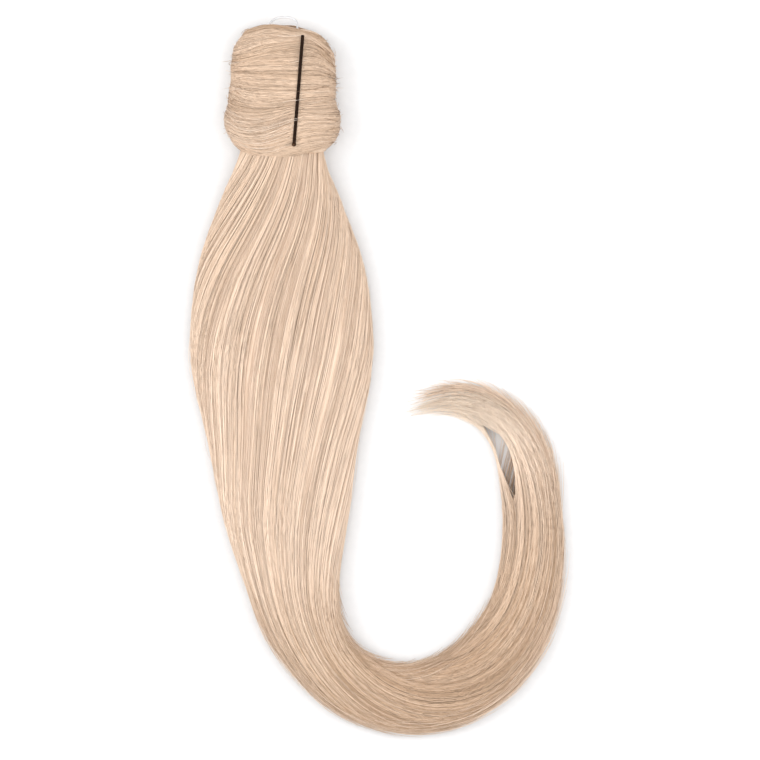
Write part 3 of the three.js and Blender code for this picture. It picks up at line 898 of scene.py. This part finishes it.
def line_row(line, side):
    """The height up the head of a line of hair, at a share across the head's front."""
    x = LINE_STATIONS
    last = len(x) - 1
    rows = [line_value(line, k) for k in range(len(x))]
    slopes = [
        (rows[min(k + 1, last)] - rows[max(k - 1, 0)]) / (x[min(k + 1, last)] - x[max(k - 1, 0)])
        for k in range(len(x))
    ]
    found = np.zeros(np.broadcast_shapes(np.shape(line), np.shape(side)))
    for k in range(last):
        span = x[k + 1] - x[k]
        t = np.clip((side - x[k]) / span, 0, 1)
        value = (
            rows[k] * (1 - t) ** 2 * (1 + 2 * t)
            + rows[k + 1] * t * t * (3 - 2 * t)
            + span * t * (1 - t) * (slopes[k] * (1 - t) - slopes[k + 1] * t)
        )
        found = np.where(side >= x[k], value, found)
    return (HEAD_PIXEL[1] - found) * PIXEL_MM


def line_height(line, angle):
    """The height up the head of a line of hair, at an angle round it. Its back is plain."""
    front = line_row(line, np.cos(angle))
    back = BACK_TOP + (BACK_BOTTOM - BACK_TOP) * line / (len(HEAD_LINES) - 1)
    behind = ease(-np.sin(angle), 0.1, 0.8)
    return front * (1 - behind) + back * behind


def gathered(line, side, angle):
    """How much painted shade the gathered hair has at a place on the head, in the creases where it
    twists.
    """
    front = ease(np.sin(angle), -0.4, 0.1)
    total = 0
    for at_line, at_side, line_reach, side_reach, crease_shade in GATHER_SHADES:
        off = ((line - at_line) / line_reach) ** 2 + ((side - at_side) / side_reach) ** 2
        total = total + crease_shade * np.exp(-off)
    return total * front


# How the head's strands lie, in the same measures as the tail's.
HEAD_STRANDS = 500
HEAD_WISPS = 170
HEAD_POINTS = 32
HEAD_STARTS = (-125, -75)
HEAD_TURNS = 1.02
HEAD_WISP_DRIFT = ((0.8, 1.7, 2.9), 0.16)
HEAD_WISP_SUNK = 0.05
HEAD_WISP_TONE = 0.035
HEAD_OFFSET = 0.14
HEAD_DRIFT = ((1.1, 2.3, 4.3), 0.07)
HEAD_SUNK = 0.45
HEAD_LIFTED = 0.3
HEAD_ROUND = 0.04
HEAD_LAYERS = 0.32
HEAD_GATHERED = 0.4
HEAD_WIDTHS = (0.08, 0.15)
HEAD_STRAND_TONE = 0.045
HEAD_TONE = 0.55
UPPER_TONE = 0.06
UPPER_LINES = (7, 14)


def head_strands(name, count, wisps):
    """Strands wound round the head. Each starts and ends on the underside."""
    lines = len(HEAD_LINES) - 1
    wisp_line = (np.arange(wisps) + rng.uniform(0, 1, wisps)) / wisps * (lines + 0.8) - 0.4
    wisp_sunk = rng.uniform(0, HEAD_WISP_SUNK, wisps)
    wisp_tone = rng.normal(0, HEAD_WISP_TONE, wisps)
    wisp = rng.integers(0, wisps, count)
    each = np.arange(count)
    start = np.radians(rng.uniform(*HEAD_STARTS, count))[:, None]
    share = np.linspace(0, 1, HEAD_POINTS)[None]
    angle = start + share * 2 * np.pi * HEAD_TURNS
    line = wisp_line[wisp][:, None] + wander(wisps, wisp, share, *HEAD_WISP_DRIFT)
    own = rng.uniform(-1, 1, count)[:, None]
    line = line + HEAD_OFFSET * own + wander(count, each, share, *HEAD_DRIFT)
    layer = rng.uniform(0, 1, count)[:, None] ** 1.5
    # Painted shade in the creases of the gathered hair, which also sinks the strands there.
    crease_shade = gathered(line, np.cos(angle), angle)
    under = (
        HEAD_SUNK
        - HEAD_LIFTED * line_value(line, LINE_LIFT)
        + HEAD_ROUND * own**2
        + wisp_sunk[wisp][:, None]
        + layer * HEAD_LAYERS
        + HEAD_GATHERED * crease_shade
    )
    under = under + rng.normal(0, 0.015, under.shape)
    paths, outward = on_head(line_height(line, angle), angle, under)
    width = rng.uniform(*HEAD_WIDTHS, count)[:, None] * (
        1 - 0.6 * ease(np.abs(share - 0.5), 0.44, 0.5)
    )
    # Deeper strands are painted darker: painted shade under the hair above them.
    own_tone = (
        wisp_tone[wisp][:, None]
        + rng.normal(0, HEAD_STRAND_TONE, count)[:, None]
        - BROWN_TONE * (rng.uniform(0, 1, count) < BROWN_SHARE)[:, None]
        + wander(count, each, share, *STRAND_TONE_DRIFT)
        - DEEP_SHADE * layer
    )
    upper = UPPER_TONE * (1 - ease(line, *UPPER_LINES))
    tone = HEAD_TONE + line_value(line, LINE_TONE) + muted(own_tone) - crease_shade - upper
    return strands(name, paths, outward, width, width * FLAT_STRAND, tone, wrap_hair)


head_pieces = [
    head_strands(f"wrap_strands_{part + 1}", HEAD_STRANDS, HEAD_WISPS) for part in range(2)
]

# The crossing end: the angles it runs between, its middle line, how many lines it reaches to each
# side and how much it narrows, then how it lies, in the same measures as the head's strands.
END_POINTS = 24
END_FROM = 212
END_TO = 64
END_LINE = 17.4
END_SPREAD = 2.6
END_NARROWS = 0.35
END_DRIFT = ((0.7, 1.9), 0.14)
END_SUNK = 0.35
END_LIFTED = 0.65
END_ROUND = 0.5
END_LAYERS = 0.7
END_WIDTHS = (0.08, 0.14)
END_TONE = 0.62
# The shares of its length between which it goes under the pin.
END_SINKS = (0.75, 1)


def crossing_end(name, count):
    """The end of the wound strand, which rises from the lower left and goes under the pin."""
    share = np.linspace(0, 1, END_POINTS)[None]
    offset = rng.uniform(-1, 1, count)[:, None]
    reach = rng.uniform(0.7, 1.0, count)[:, None]
    angle = np.radians(END_FROM - (END_FROM - END_TO) * share * reach)
    line = END_LINE + END_SPREAD * offset * (1 - END_NARROWS * share)
    line = line + wander(count, np.arange(count), share, *END_DRIFT)
    y = line_height(line, angle)
    layer = rng.uniform(0, 1, count)[:, None]
    lift = END_LIFTED * ease(share, 0.05, 0.4) * (1 - 0.95 * ease(share, *END_SINKS))
    under = END_SUNK - lift + END_ROUND * offset**2 + END_LAYERS * layer
    paths, outward = on_head(y, angle, under)
    width = rng.uniform(*END_WIDTHS, count)[:, None] * (1 - 0.8 * ease(share, *END_SINKS))
    # Deeper strands of the end are painted darker: painted shade under the strands above them.
    tone = END_TONE + rng.normal(0, 0.12, count)[:, None] - 0.1 * layer + 0 * share
    return strands(name, paths, outward, width, width * FLAT_STRAND, tone, wrap_hair)


head_pieces.append(crossing_end("wrap_end", 190))

# Single pale hairs over the pin: a line, the shares across where it starts and ends, and how far
# it rises over the head where it crosses.
STRAYS = np.array(
    [
        (17.2, -0.5, 0.33, 0.85),
        (17.5, -0.45, 0.36, 0.85),
        (18.0, -0.55, 0.24, 0.2),
        (18.3, -0.6, 0.2, 0.2),
        (18.7, -0.62, 0.22, 0.2),
        (19.2, -0.66, 0.1, 0.2),
        (19.7, -0.6, 0.16, 0.2),
        (20.3, -0.64, 0.0, 0.2),
        (7.1, 0.1, 0.5, 0.7),
        (13.4, 0.02, 0.45, 0.65),
        (2.6, -0.1, 0.6, 0.5),
        (21.0, -0.4, 0.2, 0.4),
    ]
)


def stray_hairs(name):
    """The pale hairs that cross the pin."""
    share = np.linspace(0, 1, 24)[None]
    line, start, end, rise = (STRAYS[:, k][:, None] for k in range(4))
    side = start + (end - start) * share
    angle = np.arccos(side)
    line = line + wander(len(STRAYS), np.arange(len(STRAYS)), share, (0.6, 1.4), 0.1)
    y = line_height(line, angle)
    over = rise * ease(share, 0.0, 0.4)
    paths, outward = on_head(y, angle, 0.2 - over)
    width = 0.1 * (1 - 0.7 * ease(share, 0.7, 1)) + 0 * line
    return strands(name, paths, outward, width, width, 1.0 + 0 * (line + share), wrap_hair)


head_pieces.append(stray_hairs("wrap_strays"))


# The loose hairs at the head's edges: their lines, reach round the head, widths and tones.
EDGE_LINES = (0.5, 22.5)
EDGE_REACHES = (0.25, 0.8)
EDGE_WIDTHS = (0.07, 0.11)
EDGE_TONES = (0.0, 0.4, 0.9)


def edge_hairs(name, count):
    """Short loose hairs at the head's left and right edges."""
    share = np.linspace(0, 1, 10)[None]
    edge = rng.choice([0.0, np.pi], count)[:, None]
    line = rng.uniform(*EDGE_LINES, count)[:, None] + rng.normal(0, 0.7, count)[:, None] * share
    start = rng.normal(0, 0.3, count)[:, None]
    reach = rng.uniform(*EDGE_REACHES, count)[:, None] * rng.choice([-1, 1], count)[:, None]
    angle = edge + start + reach * share
    out = rng.gamma(1.5, 0.9, count)[:, None] * share**1.6
    y = line_height(line, angle)
    paths, outward = on_head(y, angle, 0.3 - out)
    width = rng.uniform(*EDGE_WIDTHS, count)[:, None] * (1 - 0.7 * ease(share, 0.6, 1))
    tone = rng.choice(EDGE_TONES, count)[:, None] + 0 * share
    return strands(name, paths, outward, width, width, tone, wrap_hair)


head_pieces.append(edge_hairs("wrap_edge_hairs", 170))

HEAD_CORE_ROWS = 60
HEAD_CORE_SIDES = 72
HEAD_CORE_ENDS = (-29.0, 29.6)
HEAD_CORE_SUNK = 1.05
HEAD_CORE_CLOSES = (27.0, 29.6)
HEAD_CORE_CLOSED = 6
HEAD_CORE_TONE = 0.46


def head_core():
    """The mass of the wound head under its strands."""
    y = np.linspace(*HEAD_CORE_ENDS, HEAD_CORE_ROWS)[:, None]
    angle = np.linspace(0, 2 * np.pi, HEAD_CORE_SIDES, endpoint=False)[None]
    lines = 0.18 * np.sin(y * 2.3 + 2 * np.cos(angle)) + 0.12 * np.sin(y * 5.1 + 3 * np.cos(angle))
    closing = ease(np.abs(y), *HEAD_CORE_CLOSES) * HEAD_CORE_CLOSED
    points, _ = on_head(y + 0 * angle, angle, HEAD_CORE_SUNK + lines + closing)
    lay = np.stack([y * 4 + 0 * angle, angle * 3 + 0 * y, 0 * (y + angle)], axis=-1)
    tone = HEAD_CORE_TONE + 0.05 * np.sin(y * 7 + 2 * np.sin(angle * 2)) + 0 * angle
    return lofted("wrap_core", points, lay, tone, wrap_mass)


head_pieces.append(head_core())


# The pin and the loop.


def smooth_path(points, count):
    """A path of even steps on a smooth curve through points."""
    points = np.asarray(points, float)
    distance = np.r_[0, np.cumsum(np.linalg.norm(np.diff(points, axis=0), axis=1))]
    fine = np.linspace(0, distance[-1], count * 8)
    table = np.column_stack([distance, points])
    names = ("at", "x", "y", "z")
    curve = np.column_stack([read(table, names, column, fine) for column in names[1:]])
    walked = np.r_[0, np.cumsum(np.linalg.norm(np.diff(curve, axis=0), axis=1))]
    even = np.linspace(0, walked[-1], count)
    return np.column_stack([np.interp(even, walked, curve[:, k]) for k in range(3)])


def tube(name, path, across, half_across, half_up, sides, material, tone=None):
    """A closed tube with rounded ends along a path, oval where its two half sizes differ."""
    along = unit(np.gradient(path, axis=0))
    across = unit(np.asarray(across, float) - along * (along @ np.asarray(across, float))[:, None])
    up = np.cross(along, across)
    turn = np.linspace(0, 2 * np.pi, sides, endpoint=False)
    half_across = np.broadcast_to(half_across, len(path))[:, None]
    half_up = np.broadcast_to(half_up, len(path))[:, None]
    rings = (
        path[:, None]
        + (half_across * np.cos(turn))[..., None] * across[:, None]
        + (half_up * np.sin(turn))[..., None] * up[:, None]
    )[:, ::-1]
    lay = np.zeros((*rings.shape[:2], 3))
    lay[..., 0] = turn[None]
    lay[..., 1] = np.arange(len(path))[:, None] * 0.2
    tone = np.zeros(rings.shape[:2]) if tone is None else tone
    return lofted(name, rings, lay, tone, material)


def pin_material():
    """Black enamel, worn through to a brown metal at the pin's ends and specks along it."""
    material, tree, shader = new_material("pin_enamel")
    worn = node(tree, "ShaderNodeAttribute", attribute_name="tone")
    speckled = specks(tree, 900, 3)
    added = node(tree, "ShaderNodeMath", operation="ADD")
    tree.links.new(worn.outputs["Fac"], added.inputs[0])
    tree.links.new(speckled, added.inputs[1])
    stops = (
        (0.0, linear(20, 11, 6)),
        (0.5, linear(30, 18, 11)),
        (0.75, linear(52, 34, 23)),
        (1.0, linear(92, 68, 50)),
    )
    tree.links.new(ramp(tree, added.outputs[0], stops), shader.inputs["Base Color"])
    vary_roughness(tree, shader, speckled, 0.5, 0.66)
    add_bump(tree, shader, speckled, 0.2)
    shader.inputs["Specular IOR Level"].default_value = 0.05
    return material


PIN_STEPS = 260
PIN_SIDES = 16


def pin_points():
    """Points along the pin's middle, from one end, round the bend and back along the waved leg."""
    bend = PIN_GAP / 2
    points = [(0, -PIN_LENGTH + PIN_BALL / 2, 0), (0, -PIN_LENGTH / 2, 0), (0, -2 * bend, 0)]
    for bent in (30, 60, 90, 120, 150):
        angle = math.radians(bent)
        points.append((0, bend * (math.sin(angle) - 1), bend * (math.cos(angle) - 1)))
    for i in range(PIN_WAVES + 1):
        y = -PIN_GAP * 2 - i / PIN_WAVES * (PIN_LENGTH - PIN_GAP * 2 - PIN_BALL * 2)
        wave = 0 if i in (0, PIN_WAVES) else PIN_WAVE * (1 if i % 2 else -1)
        points.append((0, y, wave - PIN_GAP))
    return np.array(points, float)


def bobby_pin():
    """The pin: one bent wire with a ball on each of its ends."""
    path = smooth_path(pin_points(), PIN_STEPS)
    ball = PIN_BALL / 2
    path[0] += ball * unit(path[0] - path[1])
    path[-1] += ball * unit(path[-1] - path[-2])
    path = smooth_path(path, PIN_STEPS)
    ends = np.minimum(np.arange(PIN_STEPS), np.arange(PIN_STEPS)[::-1]) * (
        np.linalg.norm(np.diff(path, axis=0), axis=1).sum() / (PIN_STEPS - 1)
    )
    inside = np.clip(1 - ((ends - ball) / ball) ** 2, 0, 1)
    bulge = np.where(ends < 2 * ball, ball * np.sqrt(inside), 0)
    half_across = np.maximum(bulge, np.where(ends > ball, PIN_WIRE_WIDTH / 2, 0.02))
    half_up = np.maximum(bulge, np.where(ends > ball, PIN_WIRE_DEPTH / 2, 0.02))
    tilt = math.radians(PIN_TILT)
    half = WRAP_WIDTH / 2
    top = WRAP_DEPTH / 2 * (1 + math.sqrt(1 - (PIN_ASIDE / half) ** 2)) - FLATTENED
    place = np.array(
        [
            PIN_ASIDE + PIN_LENGTH / 2 * math.sin(tilt),
            WRAP_LENGTH / 2 - PIN_INSET,
            top + PIN_WIRE_DEPTH / 2 - PIN_SINK,
        ]
    )
    turned = np.column_stack(
        [
            path[:, 0] * math.cos(tilt) + path[:, 1] * math.sin(tilt),
            -path[:, 0] * math.sin(tilt) + path[:, 1] * math.cos(tilt),
            path[:, 2],
        ]
    )
    worn = 0.3 * (1 - ease(ends, 0.5, 4))[:, None] + np.zeros((PIN_STEPS, PIN_SIDES))
    across = (math.cos(tilt), -math.sin(tilt), 0)
    return tube(
        "bobby_pin_wire",
        place + turned,
        across,
        half_across,
        half_up,
        PIN_SIDES,
        pin_material(),
        worn,
    )


def loop_material():
    """Clear stretchy plastic with a faint haze."""
    material, tree, shader = new_material("clear_elastic")
    haze = specks(tree, 400)
    stops = ((0.3, linear(222, 223, 225)), (0.7, linear(236, 237, 239)))
    tree.links.new(ramp(tree, haze, stops), shader.inputs["Base Color"])
    vary_roughness(tree, shader, haze, 0.25, 0.4)
    shader.inputs["Transmission Weight"].default_value = 0.5
    shader.inputs["IOR"].default_value = 1.4
    return material


def elastic_loop():
    """The clear loop over the head's crown. Both its ends are held in the head."""
    crown = WRAP_LENGTH / 2 + ROOT_CROWN
    half = (LOOP_WIDTH - LOOP_CORD) / 2
    rise = LOOP_RISE - LOOP_CORD / 2
    foot = crown - LOOP_HELD
    z = WRAP_DEPTH / 2
    arc = [(LOOP_ASIDE + half * across, crown + rise * up, z) for across, up in LOOP_ARC]
    points = [(LOOP_ASIDE - half, foot, z), *arc, (LOOP_ASIDE + half, foot, z)]
    path = smooth_path(points, 120)
    return tube(
        "elastic_cord", path, (0, 0, 1), LOOP_CORD / 2, LOOP_CORD / 2, 20, loop_material()
    )


pin = bobby_pin()
loop = elastic_loop()

for piece in tail_pieces:
    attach(piece, "root")
    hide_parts("tail")
for piece in head_pieces:
    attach(piece, "root")
    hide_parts("wrap_strand")
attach(pin, "root")
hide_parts("bobby_pin")
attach(loop, "root")
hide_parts("elastic_loop")


# Floor, light and camera, in metres.

FLOOR_HALF = 3.0
WORLD_STRENGTH = 0.84
LIGHTS_AIM = (0.044, -0.13, 0.0)
LIGHTS = (
    ("left_box", (-1.5, 0.1, 1.5), (1.2, 1.6), 22),
    ("right_box", (1.5, -0.1, 1.5), (1.2, 1.6), 13),
    ("top_box", (0.0, -0.2, 2.2), (1.6, 1.6), 22),
)


def floor():
    """The white surface under the piece, which is no part of it."""
    material, tree, shader = new_material("floor_paper")
    stops = ((0.3, (0.72, 0.72, 0.725)), (0.7, (0.74, 0.74, 0.745)))
    tree.links.new(ramp(tree, specks(tree, 300), stops), shader.inputs["Base Color"])
    shader.inputs["Roughness"].default_value = 0.9
    shader.inputs["Specular IOR Level"].default_value = 0.2
    mesh = bpy.data.meshes.new("floor")
    half = FLOOR_HALF
    mesh.from_pydata(
        [(-half, -half, 0), (half, -half, 0), (half, half, 0), (-half, half, 0)],
        [],
        [(0, 1, 2, 3)],
    )
    mesh.materials.append(material)
    made = bpy.data.objects.new("floor", mesh)
    bpy.context.scene.collection.objects.link(made)


def area_light(name, place, size, power):
    """A soft box that looks at the middle of the piece."""
    data = bpy.data.lights.new(name, "AREA")
    data.shape = "RECTANGLE"
    data.size, data.size_y = size
    data.energy = power
    made = bpy.data.objects.new(name, data)
    bpy.context.scene.collection.objects.link(made)
    made.location = place
    away = Vector(LIGHTS_AIM) - Vector(place)
    made.rotation_euler = away.to_track_quat("-Z", "Y").to_euler()
    made.visible_camera = False


floor()
world = bpy.data.worlds.new("studio")
world.use_nodes = True
world.node_tree.nodes["Background"].inputs["Color"].default_value = (1, 1, 1, 1)
world.node_tree.nodes["Background"].inputs["Strength"].default_value = WORLD_STRENGTH
bpy.context.scene.world = world

for light in LIGHTS:
    area_light(*light)

camera_data = bpy.data.cameras.new("camera")
camera_data.lens = CAMERA_LENS
camera_data.sensor_width = CAMERA_SENSOR
camera_data.clip_end = 20
camera = bpy.data.objects.new("camera", camera_data)
bpy.context.scene.collection.objects.link(camera)
view_width = PHOTO_SIZE * PIXEL_MM
camera.location = (
    (PHOTO_SIZE / 2 - HEAD_PIXEL[0]) * PIXEL_MM * MM,
    (HEAD_PIXEL[1] - PHOTO_SIZE / 2) * PIXEL_MM * MM,
    (CAMERA_FOCUS_HEIGHT + view_width * CAMERA_LENS / CAMERA_SENSOR) * MM,
)
bpy.context.scene.camera = camera
bpy.context.scene.view_settings.view_transform = "Standard"
